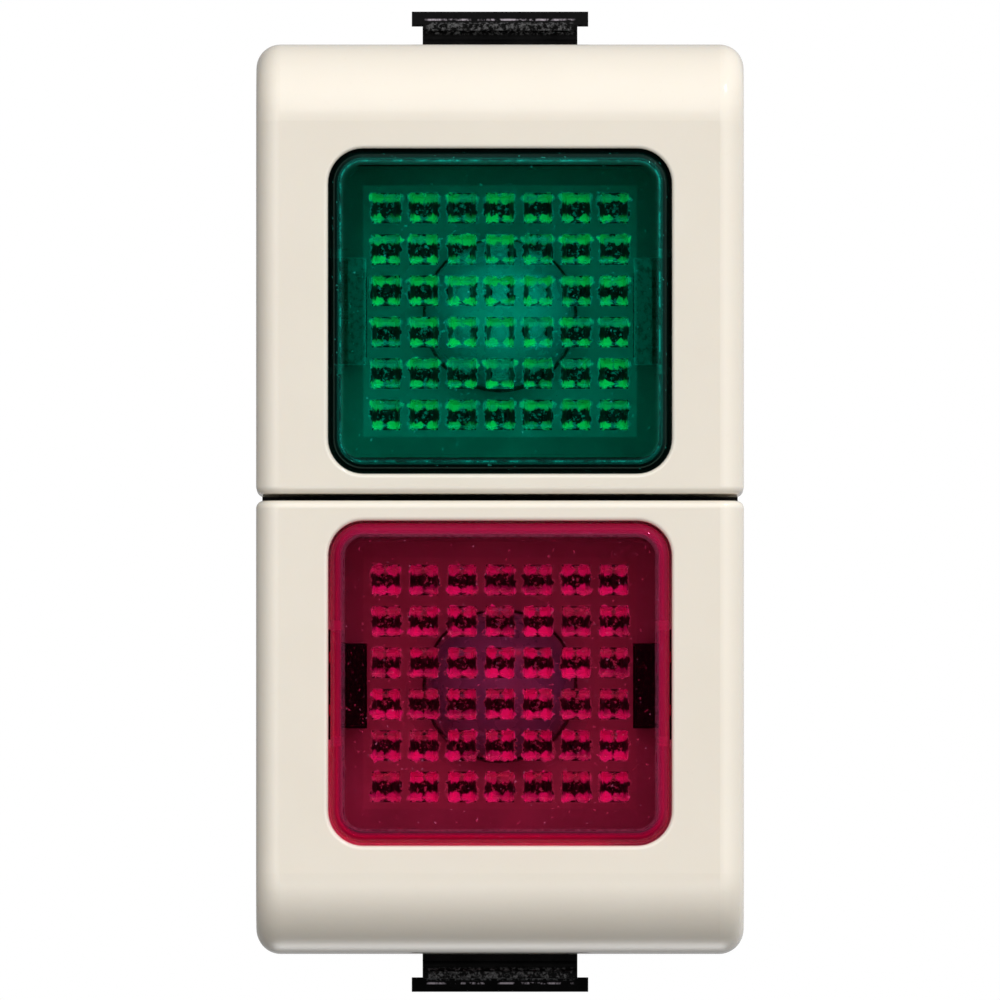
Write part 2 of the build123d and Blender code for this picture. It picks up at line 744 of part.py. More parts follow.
# ---- tongues and rivets -------------------------------------------------------------------------
def make_tongue():
    """A snap tongue: knuckle, leaf, and a head whose wider nose catches the mounting frame."""
    half = tongue_width / 2
    leaf_low = pivot_z - tongue_leaf / 2
    leaf_high = pivot_z + tongue_leaf / 2
    tongue = cross_rod(knuckle_radius, -half, half, pivot_y, pivot_z)
    tongue += block(-half, half, tongue_front, pivot_y, leaf_low, leaf_high)
    tongue += block(-half, half, tongue_front, tongue_front + head_depth, leaf_low, neck_top)
    nose_half = nose_width / 2
    nose_back = nose_front + nose_depth
    outline = Polyline(
        [
            (-nose_half, nose_front, neck_top),
            (-nose_half, nose_front + nose_slope, nose_top),
            (-nose_half, nose_back, nose_top),
            (-nose_half, nose_back, neck_top - nose_skirt),
            (-nose_half, nose_front, neck_top - nose_skirt),
        ],
        close=True,
    )
    tongue += extrude(make_face(outline), nose_width, dir=(1, 0, 0))
    groove_z = (cap_high_z + neck_top) / 2
    return tongue - cross_rod(grip_groove, -side, side, tongue_front, groove_z)


def make_rivets():
    """Four headed rivets that join the front housing and the rear base."""
    rivets = []
    front_y = rivet_recess_clearance
    back_y = rear_y - rivet_recess_clearance
    for x, z in rivet_places():
        rivet = rod(rivet_radius, front_y, back_y, x, z)
        rivet += rod(rivet_head_radius, front_y, front_y + rivet_head, x, z)
        rivet += rod(rivet_head_radius, back_y - rivet_head, back_y, x, z)
        rivets.append(rivet)
    return rivets


# ---- colours ------------------------------------------------------------------------------------
cream = (0.88, 0.85, 0.80)
black = (0.03, 0.03, 0.03)
green = (0.0, 0.45, 0.30)
red = (0.65, 0.02, 0.15)
brass = (0.80, 0.62, 0.30)
steel = (0.72, 0.73, 0.75)
glass = (0.70, 0.80, 0.95)
ceramic = (0.30, 0.16, 0.10)
pale = (0.75, 0.74, 0.71)


def save_pairs():
    """Writes the pieces that both units have, upper and lower."""
    pairs = [
        ("lamp_glass", make_lamp_glass(), glass),
        ("lamp_base", make_lamp_base(), brass),
        ("lamp_insulator", make_lamp_insulator(), black),
        ("lamp_button", make_lamp_button(), steel),
        ("lamp_filament", make_lamp_filament(), steel),
        ("lamp_socket", make_socket(), brass),
        ("socket_disc", make_socket_disc(), ceramic),
        ("contact_plunger", make_plunger(), brass),
        ("contact_spring", make_contact_spring(), steel),
        ("socket_strip", make_socket_strip(), brass),
        ("contact_strip", make_contact_strip(), brass),
        ("latch_tongue", make_tongue(), black),
        ("reflector", make_reflector(), pale),
    ]
    for name, shape, colour in pairs:
        save(f"upper_{name}", shape, colour)
        save(f"lower_{name}", lower(shape), colour)


def save_terminals():
    """Writes the four cages and screws: 1 and 2 are the upper unit's, 3 and 4 the lower's."""
    for number, x in ((1, -terminal_x), (2, terminal_x)):
        cage = make_cage(x)
        screw = make_terminal_screw(x)
        save(f"terminal_cage_{number}", cage, steel)
        save(f"terminal_screw_{number}", screw, steel)
        save(f"terminal_cage_{number + 2}", lower(cage), steel)
        save(f"terminal_screw_{number + 2}", lower(screw), steel)


def main():
    os.makedirs("parts", exist_ok=True)
    cap = make_cap()
    lens = make_lens()
    save("upper_cap", cap, cream)
    save("lower_cap", lower(cap), cream)
    save("green_lens", lens, green)
    save("red_lens", lower(lens), red)
    save("front_housing", make_front_housing(), black)
    save("rear_base", make_rear_base(), black)
    save("housing_rivets", Compound(children=make_rivets()), steel)
    save_pairs()
    save_terminals()


main()
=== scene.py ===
"""Looks, camera and light for the two-lens indicator module."""

import json
import math

import bmesh
import bpy
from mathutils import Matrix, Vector


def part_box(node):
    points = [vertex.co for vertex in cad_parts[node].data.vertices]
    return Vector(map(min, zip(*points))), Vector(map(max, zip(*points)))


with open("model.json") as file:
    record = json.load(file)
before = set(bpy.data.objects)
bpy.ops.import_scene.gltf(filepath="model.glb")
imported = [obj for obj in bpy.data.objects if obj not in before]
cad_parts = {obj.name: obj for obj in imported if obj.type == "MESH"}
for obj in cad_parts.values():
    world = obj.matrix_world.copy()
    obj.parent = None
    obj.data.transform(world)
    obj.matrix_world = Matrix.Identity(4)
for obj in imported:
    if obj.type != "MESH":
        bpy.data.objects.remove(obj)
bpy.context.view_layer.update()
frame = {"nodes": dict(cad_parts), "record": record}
NODES = frame["nodes"]

MM = 0.001

# The CAD's sizes that the painted marks follow.
PITCH_X = 1.737 * MM          # the lens studs
PITCH_Z = 1.892 * MM
GRID_X = 6.0 * MM             # half sizes of the marked grid
GRID_Z = 5.6 * MM
STUD_ROOT = -6.0 * MM         # the Y plane that the studs stand on
LENS_HALF_X = 7.75 * MM
LENS_CORNER = 1.5 * MM
PAD_X = 6.25 * MM             # half sizes of the studded pad, and of an arm along Z
PAD_Z = 5.75 * MM
ARM_Z = 2.43 * MM
PLATE_BACK = -6.3 * MM        # the Y plane of the lens plate's back
WINDOW_X = 7.85 * MM          # half sizes of a cap's window, and the height of its middle
WINDOW_Z = 7.425 * MM
AXIS_Z = 8.505 * MM
WELL_FRONT = -7.42 * MM       # where the window's walls get painted shade, behind the rounded rim
WELL_BACK = -7.32 * MM
TONGUE_EDGE = 22.12 * MM      # painted highlight line along the tongue's nose
TONGUE_HALF_X = 3.35 * MM     # half the length of that line
TONGUE_FRONT = 2.2 * MM       # the marks fade out between these two Y planes
TONGUE_BACK = 2.6 * MM
LAMP_RADIUS = 3.0 * MM        # of the area in front of a lamp

# The studs' painted glints and shade, in millimetres from the middle of a cell.
LOBE_X = 0.36                 # the middles of the painted highlight lobes
LOBE_Z = 0.46
HOLLOW_X = 0.68               # half sizes of the painted shade between the lobes, and how far it is sunk
HOLLOW_Z = 0.38
HOLLOW_DROP = 0.07

# The studio, in metres and degrees, and the sensor in millimetres.
FLOOR_RADIUS = 0.9
FLOOR_Z = -0.06
LAMP_DISTANCE = 0.6
LAMP_AIM = (0.0, -0.0075, 0.0)
CAMERA_DISTANCE = 2.1
CAMERA_ANGLE = -1.2           # from level; below is negative
CAMERA_AIM_Z = -0.000135
SENSOR_WIDTH = 36.0
VIEW_WIDTH = 0.0457           # what the picture's width takes in, at the aim

# Each lens's look. Colours are linear and depths are in metres. "blobs" holds the half width and
# half height, in millimetres, of a stud's upper painted highlight lobes and of its lower ones.
# "glint" is their painted highlight colour, and "rim" and "painted_line" paint light and shade at
# the lens's edge.
# "gleam" tints the reflections, and "deep" tints the light that passes through to what lies behind.
GREEN = {
    "tint": (0.003, 0.61, 0.49),
    "shade": (0.006, 0.68, 0.55),
    "border": (0.002, 0.38, 0.30),
    # Painted shade: a near-black rim; the line is a painted glint.
    "rim": (0.0, 0.01, 0.008),
    "rim_depth": 0.35 * MM,
    "rim_frost": 0.6,
    "painted_line": (0.004, 0.62, 0.48),
    "glint": (0.03, 0.86, 0.20),
    "dust": (0.06, 0.75, 0.60),
    "arm": (0.0, 0.055, 0.038),
    "arm_haze": 0.95,
    "blobs": ((0.40, 0.21), (0.27, 0.17)),
    "open_centre": 1.0,
    "gleam": (0.03, 0.36, 0.28),
    "deep": (0.08, 0.88, 0.78),
}
RED = {
    "tint": (0.71, 0.15, 0.27),
    "shade": (0.79, 0.18, 0.32),
    "border": (0.68, 0.15, 0.28),
    # Painted light: a bright rim; the line is painted shade.
    "rim": (0.84, 0.005, 0.10),
    "rim_depth": 0.50 * MM,
    "rim_frost": 0.30,
    "painted_line": (0.20, 0.0, 0.03),
    "glint": (0.96, 0.03, 0.42),
    "dust": (0.95, 0.15, 0.45),
    "arm": (0.20, 0.0, 0.03),
    "arm_haze": 0.0,
    "blobs": ((0.28, 0.25), (0.34, 0.22)),
    "open_centre": 0.0,
    "gleam": (0.55, 0.05, 0.20),
    "deep": (0.94, 0.40, 0.60),
}


# ---- node helpers -------------------------------------------------------------------------------
def new_material(name):
    """A material with a Principled shader: returns (material, node tree, shader)."""
    material = bpy.data.materials.new(name)
    material.use_nodes = True
    tree = material.node_tree
    tree.nodes.clear()
    output = tree.nodes.new("ShaderNodeOutputMaterial")
    shader = tree.nodes.new("ShaderNodeBsdfPrincipled")
    tree.links.new(shader.outputs["BSDF"], output.inputs["Surface"])
    return material, tree, shader


def coords(tree, scale=(1.0, 1.0, 1.0)):
    """Object coordinates, stretched by scale."""
    source = tree.nodes.new("ShaderNodeTexCoord")
    mapping = tree.nodes.new("ShaderNodeMapping")
    mapping.inputs["Scale"].default_value = scale
    tree.links.new(source.outputs["Object"], mapping.inputs["Vector"])
    return mapping.outputs["Vector"]


def noise(tree, vector, scale, detail=2.0, rough=0.5):
    """A noise value, 0 to 1."""
    node = tree.nodes.new("ShaderNodeTexNoise")
    node.inputs["Scale"].default_value = scale
    node.inputs["Detail"].default_value = detail
    node.inputs["Roughness"].default_value = rough
    tree.links.new(vector, node.inputs["Vector"])
    return node.outputs["Fac"]


def cells(tree, vector, scale):
    """The distance to the nearest of a scatter of points."""
    node = tree.nodes.new("ShaderNodeTexVoronoi")
    node.inputs["Scale"].default_value = scale
    tree.links.new(vector, node.inputs["Vector"])
    return node.outputs["Distance"]


def ramp(tree, value, stops):
    """A colour ramp through (place, colour) stops."""
    node = tree.nodes.new("ShaderNodeValToRGB")
    band = node.color_ramp
    while len(band.elements) < len(stops):
        band.elements.new(0.5)
    for element, (place, colour) in zip(band.elements, stops):
        element.position = place
        element.color = (*colour, 1.0)
    tree.links.new(value, node.inputs["Fac"])
    return node.outputs["Color"]


def remap(tree, value, low, high, new_low, new_high):
    """value from low..high to new_low..new_high, held at the ends."""
    node = tree.nodes.new("ShaderNodeMapRange")
    node.inputs["From Min"].default_value = low
    node.inputs["From Max"].default_value = high
    node.inputs["To Min"].default_value = new_low
    node.inputs["To Max"].default_value = new_high
    tree.links.new(value, node.inputs["Value"])
    return node.outputs["Result"]


def math_node(tree, operation, first, second):
    """A maths node on two values; either may be a number."""
    node = tree.nodes.new("ShaderNodeMath")
    node.operation = operation
    for socket, value in zip(node.inputs, (first, second)):
        if isinstance(value, (int, float)):
            socket.default_value = value
        else:
            tree.links.new(value, socket)
    return node.outputs["Value"]


def mix_colour(tree, factor, first, second):
    """Two colours mixed by a factor; the factor may be a number, and a colour may be a tuple."""
    node = tree.nodes.new("ShaderNodeMix")
    node.data_type = "RGBA"
    if isinstance(factor, float):
        node.inputs[0].default_value = factor
    else:
        tree.links.new(factor, node.inputs[0])
    for socket, value in zip((node.inputs[6], node.inputs[7]), (first, second)):
        if isinstance(value, tuple):
            socket.default_value = (*value, 1.0)
        else:
            tree.links.new(value, socket)
    return node.outputs[2]


def bump(tree, height, strength, distance, normal=None):
    """A bumped normal."""
    node = tree.nodes.new("ShaderNodeBump")
    node.inputs["Strength"].default_value = strength
    node.inputs["Distance"].default_value = distance
    tree.links.new(height, node.inputs["Height"])
    if normal is not None:
        tree.links.new(normal, node.inputs["Normal"])
    return node.outputs["Normal"]


def axis(tree, vector, name):
    """One coordinate of a vector."""
    split = tree.nodes.new("ShaderNodeSeparateXYZ")
    tree.links.new(vector, split.inputs["Vector"])
    return split.outputs[name]


def product(tree, *values):
    """Values multiplied together."""
    result = values[0]
    for value in values[1:]:
        result = math_node(tree, "MULTIPLY", result, value)
    return result


def within(tree, value, limit, soft):
    """1 below limit and 0 above it, changing over soft either side."""
    return remap(tree, value, limit - soft, limit + soft, 1.0, 0.0)


def wobble(tree, value, vector, scale, amount):
    """value plus a noise of that much either way."""
    shift = remap(tree, noise(tree, vector, scale, 2.0), 0.2, 0.8, -amount, amount)
    return math_node(tree, "ADD", value, shift)


def size_of(tree, value):
    """A value without its sign."""
    return math_node(tree, "ABSOLUTE", value, 0.0)


def from_middle(tree, vector, name, middle=0.0):
    """How far one coordinate of a vector is from middle, either way."""
    value = axis(tree, vector, name)
    if middle:
        value = math_node(tree, "SUBTRACT", value, middle)
    return size_of(tree, value)


# ---- materials ----------------------------------------------------------------------------------
def cream_plastic():
    """Polished cream thermoplastic: faint mottling, orange peel, hairline wear, and painted shade
    on the window's walls.
    """
    material, tree, shader = new_material("cream_plastic")
    place = coords(tree)
    mottling = noise(tree, place, 260.0, 3.0)
    specks = noise(tree, place, 5200.0, 2.0)
    tone = ramp(tree, mottling, [(0.3, (0.800, 0.742, 0.648)), (0.7, (0.822, 0.766, 0.674))])
    spotted = ramp(tree, specks, [(0.25, (0.775, 0.715, 0.615)), (0.36, (0.811, 0.754, 0.661))])
    colour = mix_colour(tree, 0.35, tone, spotted)
    # Painted shade: the window's walls go near black.
    shaded = mix_colour(tree, painted_well_shade(tree), colour, (0.012, 0.010, 0.009))
    tree.links.new(shaded, shader.inputs["Base Color"])
    wear = noise(tree, coords(tree, (1.0, 1.0, 6.0)), 900.0, 4.0)
    tree.links.new(remap(tree, wear, 0.3, 0.75, 0.13, 0.21), shader.inputs["Roughness"])
    peel = bump(tree, noise(tree, place, 1500.0, 1.0), 0.10, 0.00002)
    tree.links.new(bump(tree, specks, 0.05, 0.000005, peel), shader.inputs["Normal"])
    shader.inputs["IOR"].default_value = 1.5
    shader.inputs["Subsurface Weight"].default_value = 0.12
    shader.inputs["Subsurface Radius"].default_value = (1.0, 0.75, 0.5)
    shader.inputs["Subsurface Scale"].default_value = 0.0008
    shader.inputs["Coat Weight"].default_value = 0.25
    shader.inputs["Coat Roughness"].default_value = 0.05
    return material


def painted_well_shade(tree):
    """1 on the walls of the upper cap's window, behind its rounded rim, where painted shade darkens
    them near black.
    """
    place = coords(tree)
    x = from_middle(tree, place, "X")
    z = from_middle(tree, place, "Z", AXIS_Z)
    back = remap(tree, axis(tree, place, "Y"), WELL_FRONT, WELL_BACK, 0.0, 1.0)
    margin, soft = 0.05 * MM, 0.02 * MM
    in_x = within(tree, x, WINDOW_X + margin, soft)
    in_z = within(tree, z, WINDOW_Z + margin, soft)
    return product(tree, in_x, in_z, back)


def tongue_painted_light(tree, edge_z):
    """Masks on a tongue's nose: (a painted highlight line at the height edge_z, a band of grit
    below it, with light specks painted for its glints).
    """
    place = coords(tree)
    height = from_middle(tree, place, "Z")
    front = remap(tree, axis(tree, place, "Y"), TONGUE_FRONT, TONGUE_BACK, 1.0, 0.0)
    offset = size_of(tree, math_node(tree, "SUBTRACT", height, edge_z))
    painted_line = remap(tree, offset, 0.02 * MM, 0.06 * MM, 1.0, 0.0)
    streaks = noise(tree, coords(tree, (1.0, 1.0, 0.2)), 2600.0, 3.0, 0.7)
    broken = remap(tree, streaks, 0.47, 0.60, 0.0, 1.0)
    middle = within(tree, from_middle(tree, place, "X"), TONGUE_HALF_X, 0.15 * MM)
    highlight_line = product(tree, painted_line, broken, front, middle)
    low = remap(tree, height, edge_z - 0.75 * MM, edge_z - 0.65 * MM, 0.0, 1.0)
    high = remap(tree, height, edge_z - 0.16 * MM, edge_z - 0.10 * MM, 1.0, 0.0)
    grit_glint_specks = remap(tree, noise(tree, place, 5600.0, 2.0, 0.7), 0.47, 0.66, 0.0, 1.0)
    return highlight_line, product(tree, low, high, grit_glint_specks, front, middle)


def black_plastic(name="black_plastic", edge_z=None):
    """Black thermoplastic with a fine spark texture; edge_z adds a tongue's painted highlight line
    and painted grit glints at that height.
    """
    material, tree, shader = new_material(name)
    place = coords(tree)
    grain = noise(tree, place, 5200.0, 3.0, 0.65)
    pits = cells(tree, place, 4200.0)
    dust = noise(tree, place, 700.0, 4.0)
    low_tone, high_tone, level = (0.0035, 0.009, 0.16)
    if edge_z is not None:
        low_tone, high_tone, level = (0.0012, 0.0035, 0.05)
    low_colour = (low_tone, low_tone, low_tone * 1.06)
    high_colour = (high_tone, high_tone, high_tone * 1.05)
    tone = ramp(tree, dust, [(0.35, low_colour), (0.75, high_colour)])
    if edge_z is not None:
        highlight_line, grit = tongue_painted_light(tree, edge_z)
        # Painted highlights: light specks on the grit stand in for its glints, and a light line for
        # the nose edge's highlight.
        tone = mix_colour(tree, grit, tone, (0.095, 0.095, 0.098))
        tone = mix_colour(tree, highlight_line, tone, (0.36, 0.32, 0.36))
    tree.links.new(tone, shader.inputs["Base Color"])
    tree.links.new(remap(tree, grain, 0.3, 0.7, 0.38, 0.65), shader.inputs["Roughness"])
    first = bump(tree, grain, 0.55, 0.00004)
    tree.links.new(bump(tree, pits, 0.35, 0.00003, first), shader.inputs["Normal"])
    shader.inputs["IOR"].default_value = 1.45
    shader.inputs["Specular IOR Level"].default_value = level
    return material


def stud_painted_light(tree, middle, look):
    """Masks over the stud grid around middle: (painted highlight lobes at the corners, painted
    shade between them).
    """
    place = coords(tree)
    x = axis(tree, place, "X")
    z = math_node(tree, "SUBTRACT", axis(tree, place, "Z"), middle.z)
    y = axis(tree, place, "Y")
    back = remap(tree, y, STUD_ROOT - 0.06 * MM, STUD_ROOT - 0.02 * MM, 0.0, 1.0)

    # where a point is in its cell, in millimetres: a stud is centred on x = 0, and a gap on z = 0
    shifted = math_node(tree, "ADD", math_node(tree, "DIVIDE", x, PITCH_X), 0.5)
    u = math_node(tree, "FRACT", shifted, 0.0)
    v = math_node(tree, "FRACT", math_node(tree, "DIVIDE", z, PITCH_Z), 0.0)
    du = product(tree, math_node(tree, "SUBTRACT", u, 0.5), PITCH_X / MM)
    dv = product(tree, math_node(tree, "SUBTRACT", v, 0.5), PITCH_Z / MM)
    du = wobble(tree, du, place, 3600.0, 0.16)
    dv = wobble(tree, dv, coords(tree, (1.3, 1.0, 0.8)), 3300.0, 0.14)
    across = size_of(tree, du)
    along = size_of(tree, dv)

    # the painted highlight lobes are ellipses, of one size above the stud's middle and another
    # below it
    top = remap(tree, dv, -0.05, 0.05, 0.0, 1.0)
    (top_x, top_z), (low_x, low_z) = look["blobs"]
    half_x = remap(tree, top, 0.0, 1.0, low_x, top_x)
    half_z = remap(tree, top, 0.0, 1.0, low_z, top_z)
    side = math_node(tree, "DIVIDE", math_node(tree, "SUBTRACT", across, LOBE_X), half_x)
    rise = math_node(tree, "DIVIDE", math_node(tree, "SUBTRACT", along, LOBE_Z), half_z)
    reach = math_node(tree, "ADD", product(tree, side, side), product(tree, rise, rise))
    in_x = within(tree, size_of(tree, x), GRID_X, 0.02 * MM)
    in_z = within(tree, size_of(tree, z), GRID_Z, 0.02 * MM)
    grid = product(tree, in_x, in_z, back)
    patchy = remap(tree, noise(tree, place, 700.0, 2.0), 0.38, 0.56, 0.30, 1.0)
    glint_lobes = product(tree, within(tree, reach, 1.0, 0.35), grid, patchy)

    # the painted shade between the lobes is speckled, and open in front of the lamp where the look
    # says so
    square = math_node(tree, "ADD", product(tree, x, x), product(tree, z, z))
    from_lamp = math_node(tree, "SQRT", square, 0.0)
    lamp = product(tree, within(tree, from_lamp, LAMP_RADIUS, 0.25 * MM), look["open_centre"])
    speckle = remap(tree, noise(tree, place, 4600.0, 3.0, 0.7), 0.34, 0.44, 0.0, 1.0)
    speckle = product(tree, speckle, math_node(tree, "SUBTRACT", 1.0, lamp))
    frame_side = remap(tree, across, 0.28, 0.42, 0.0, 1.0)
    hollow = math_node(tree, "MAXIMUM", speckle, frame_side)
    sunk = size_of(tree, math_node(tree, "ADD", dv, HOLLOW_DROP))
    deep = within(tree, sunk, HOLLOW_Z, 0.05)
    dark = product(tree, deep, within(tree, across, HOLLOW_X, 0.04), grid, hollow)
    return glint_lobes, dark


def outline_depth(tree, middle, half, corner):
    """How far a point is inside the lens's outline, as seen from the front."""
    place = coords(tree)
    x = from_middle(tree, place, "X")
    z = from_middle(tree, place, "Z", middle.z)
    out_x = math_node(tree, "MAXIMUM", math_node(tree, "SUBTRACT", x, half.x - corner), 0.0)
    out_z = math_node(tree, "MAXIMUM", math_node(tree, "SUBTRACT", z, half.z - corner), 0.0)
    square = math_node(tree, "ADD", product(tree, out_x, out_x), product(tree, out_z, out_z))
    return math_node(tree, "SUBTRACT", corner, math_node(tree, "SQRT", square, 0.0))


def lens_zones(tree, middle):
    """Masks: (outside the studded pad, the side arms behind the plate)."""
    place = coords(tree)
    x = from_middle(tree, place, "X")
    z = from_middle(tree, place, "Z", middle.z)
    soft = 0.05 * MM
    in_pad = product(tree, within(tree, x, PAD_X, soft), within(tree, z, PAD_Z, soft))
    beside = math_node(tree, "SUBTRACT", 1.0, within(tree, x, PAD_X - 0.1 * MM, soft))
    y = axis(tree, place, "Y")
    behind = remap(tree, y, PLATE_BACK - 0.1 * MM, PLATE_BACK - 0.05 * MM, 0.0, 1.0)
    arm = product(tree, beside, within(tree, z, ARM_Z, 0.03 * MM), behind)
    return math_node(tree, "SUBTRACT", 1.0, in_pad), arm


def filter_shadow(tree, shader, deep):
    """Lets light through the lens as a plain filter of the colour deep, without refracting it."""
    output = next(n for n in tree.nodes if n.type == "OUTPUT_MATERIAL")
    clear = tree.nodes.new("ShaderNodeBsdfTransparent")
    clear.inputs["Color"].default_value = (*deep, 1.0)
    path = tree.nodes.new("ShaderNodeLightPath")
    mix = tree.nodes.new("ShaderNodeMixShader")
    tree.links.new(path.outputs["Is Shadow Ray"], mix.inputs["Fac"])
    tree.links.new(shader.outputs["BSDF"], mix.inputs[1])
    tree.links.new(clear.outputs["BSDF"], mix.inputs[2])
    tree.links.new(mix.outputs["Shader"], output.inputs["Surface"])


def clear_plastic(name, node, look):
    """Transparent coloured plastic with flow marks, haze and dust, and painted light and shade: a
    rim and a line at the edge, highlight lobes and shade on the studs.
    """
    material, tree, shader = new_material(name)
    low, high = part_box(node)
    middle, half = (low + high) / 2, (high - low) / 2
    half.x = LENS_HALF_X
    place = coords(tree)

    # masks, 0 to 1
    flow = noise(tree, place, 420.0, 3.0)
    glint_lobes, dark = stud_painted_light(tree, middle, look)
    depth = outline_depth(tree, middle, half, LENS_CORNER)
    # Painted edge light and shade: a rim just inside the outline, and a thin line past it.
    rim = within(tree, depth, look["rim_depth"], 0.04 * MM)
    line_depth = look["rim_depth"] + 0.10 * MM
    step = size_of(tree, math_node(tree, "SUBTRACT", depth, line_depth))
    broken = remap(tree, noise(tree, place, 1900.0, 3.0, 0.7), 0.40, 0.60, 0.15, 1.0)
    painted_line = product(tree, within(tree, step, 0.05 * MM, 0.03 * MM), broken)
    border, arm = lens_zones(tree, middle)
    grit = remap(tree, noise(tree, place, 3800.0, 3.0, 0.7), 0.42, 0.60, 0.55, 1.0)
    arm = product(tree, arm, look["arm_haze"], grit)
    dust = remap(tree, noise(tree, place, 5200.0, 1.0), 0.70, 0.77, 0.0, 0.35)

    # colour: each layer lies over the ones before it
    colour = ramp(tree, flow, [(0.3, look["tint"]), (0.7, look["shade"])])
    for mask, layer in (
        (border, look["border"]),
        (arm, look["arm"]),
        (rim, look["rim"]),
        (painted_line, look["painted_line"]),
        # Painted shade on the studs, then their painted highlight lobes.
        (dark, (0.0, 0.0, 0.0)),
        (glint_lobes, look["glint"]),
        (dust, look["dust"]),
    ):
        colour = mix_colour(tree, mask, colour, layer)
    tree.links.new(colour, shader.inputs["Base Color"])

    # surface: polished, but frosted where a mark lies
    haze = noise(tree, coords(tree, (1.0, 1.0, 4.0)), 2400.0, 3.0)
    polish = remap(tree, haze, 0.35, 0.8, 0.0, 0.06)
    rough = math_node(tree, "MAXIMUM", polish, product(tree, dark, 0.45))
    rough = math_node(tree, "MAXIMUM", rough, product(tree, glint_lobes, 0.3))
    tree.links.new(rough, shader.inputs["Roughness"])
    tree.links.new(bump(tree, flow, 0.05, 0.00002), shader.inputs["Normal"])
    frost = glint_lobes
    for mask in (dark, arm, dust, product(tree, painted_line, 0.4), product(tree, rim, look["rim_frost"])):
        frost = math_node(tree, "MAXIMUM", frost, mask)
    tree.links.new(remap(tree, frost, 0.0, 1.0, 1.0, 0.08), shader.inputs["Transmission Weight"])
    shader.inputs["IOR"].default_value = 1.49
    shader.inputs["Specular Tint"].default_value = (*look["gleam"], 1.0)
    shader.inputs["Coat Weight"].default_value = 0.035
    shader.inputs["Coat Roughness"].default_value = 0.03
    filter_shadow(tree, shader, look["deep"])
    return material


def lamp_glass():
    """Frosted pale blue lamp glass, a little cloudy."""
    material, tree, shader = new_material("lamp_glass")
    place = coords(tree)
    cloud = noise(tree, place, 800.0, 3.0)
    tone = ramp(tree, cloud, [(0.3, (0.25, 0.66, 0.74)), (0.7, (0.36, 0.76, 0.82))])
    tree.links.new(tone, shader.inputs["Base Color"])
    tree.links.new(remap(tree, cloud, 0.3, 0.7, 0.18, 0.34), shader.inputs["Roughness"])
    ripple = noise(tree, place, 3000.0, 2.0)
    tree.links.new(bump(tree, ripple, 0.12, 0.00002), shader.inputs["Normal"])
    shader.inputs["Transmission Weight"].default_value = 0.25
    shader.inputs["IOR"].default_value = 1.5
    return material


def metal(name, dark, light, low_rough, high_rough, scale=(1.0, 1.0, 1.0), strength=0.15):
    """A plated or stamped metal: tone, roughness and drawing marks vary over it."""
    material, tree, shader = new_material(name)
    place = coords(tree, scale)
    marks = noise(tree, place, 1800.0, 5.0, 0.6)
    stain = noise(tree, coords(tree), 420.0, 3.0)
    tree.links.new(ramp(tree, stain, [(0.3, dark), (0.65, light)]), shader.inputs["Base Color"])
    tree.links.new(remap(tree, marks, 0.3, 0.7, low_rough, high_rough), shader.inputs["Roughness"])
    tree.links.new(bump(tree, marks, strength, 0.00002), shader.inputs["Normal"])
    shader.inputs["Metallic"].default_value = 1.0
    return material


def moulded(name, dark, light, rough):
    """A dull moulding: mottled tone over a fine grain."""
    material, tree, shader = new_material(name)
    place = coords(tree)
    grain = noise(tree, place, 2600.0, 4.0, 0.6)
    mottling = noise(tree, place, 500.0, 3.0)
    tree.links.new(ramp(tree, mottling, [(0.3, dark), (0.7, light)]), shader.inputs["Base Color"])
    gloss = remap(tree, grain, 0.3, 0.7, rough - 0.08, rough + 0.1)
    tree.links.new(gloss, shader.inputs["Roughness"])
    tree.links.new(bump(tree, grain, 0.2, 0.00003), shader.inputs["Normal"])
    return material


def build_materials():
    """Every material, by the record's slot name."""
    return {
        "cream_plastic": cream_plastic(),
        "black_plastic": black_plastic(),
        "green_clear_plastic": clear_plastic("green_clear_plastic", "green_lens", GREEN),
        "red_clear_plastic": clear_plastic("red_clear_plastic", "red_lens", RED),
        "brass": metal("brass", (0.60, 0.42, 0.17), (0.78, 0.58, 0.27), 0.22, 0.42),
        "nickel_brass": metal("nickel_brass", (0.55, 0.53, 0.48), (0.70, 0.68, 0.62), 0.16, 0.34),
        "plated_steel": metal(
            "plated_steel", (0.52, 0.53, 0.55), (0.70, 0.71, 0.73), 0.24, 0.46, (1.0, 1.0, 5.0)
        ),
        "blackened_steel": metal(
            "blackened_steel", (0.010, 0.010, 0.011), (0.03, 0.03, 0.033), 0.4, 0.6
        ),
        "solder": metal("solder", (0.42, 0.42, 0.43), (0.62, 0.62, 0.63), 0.3, 0.55, strength=0.3),
        "filament_wire": metal("filament_wire", (0.30, 0.29, 0.28), (0.45, 0.44, 0.43), 0.3, 0.5),
        "lamp_glass": lamp_glass(),
        "brown_insulator": moulded(
            "brown_insulator", (0.060, 0.026, 0.014), (0.11, 0.05, 0.028), 0.5
        ),
        "pale_plastic": moulded("pale_plastic", (0.70, 0.70, 0.68), (0.80, 0.80, 0.78), 0.45),
    }


def paint(materials):
    """Gives every CAD node the material of its slot; the tongues' has their painted highlight line
    and grit glints as well.
    """
    for piece in frame["record"]["subparts"]:
        node = NODES[piece["node"]]
        node.data.materials.clear()
        node.data.materials.append(materials[piece["material_slot"]])
    tongue = black_plastic("black_tongue_plastic", TONGUE_EDGE)
    for name in ("upper_latch_tongue", "lower_latch_tongue"):
        NODES[name].data.materials.clear()
        NODES[name].data.materials.append(tongue)


# ---- studio -------------------------------------------------------------------------------------
def aim_at(thing, target):
    """Turns a camera or a light to face target."""
    thing.rotation_euler = (target - thing.location).to_track_quat("-Z", "Y").to_euler()


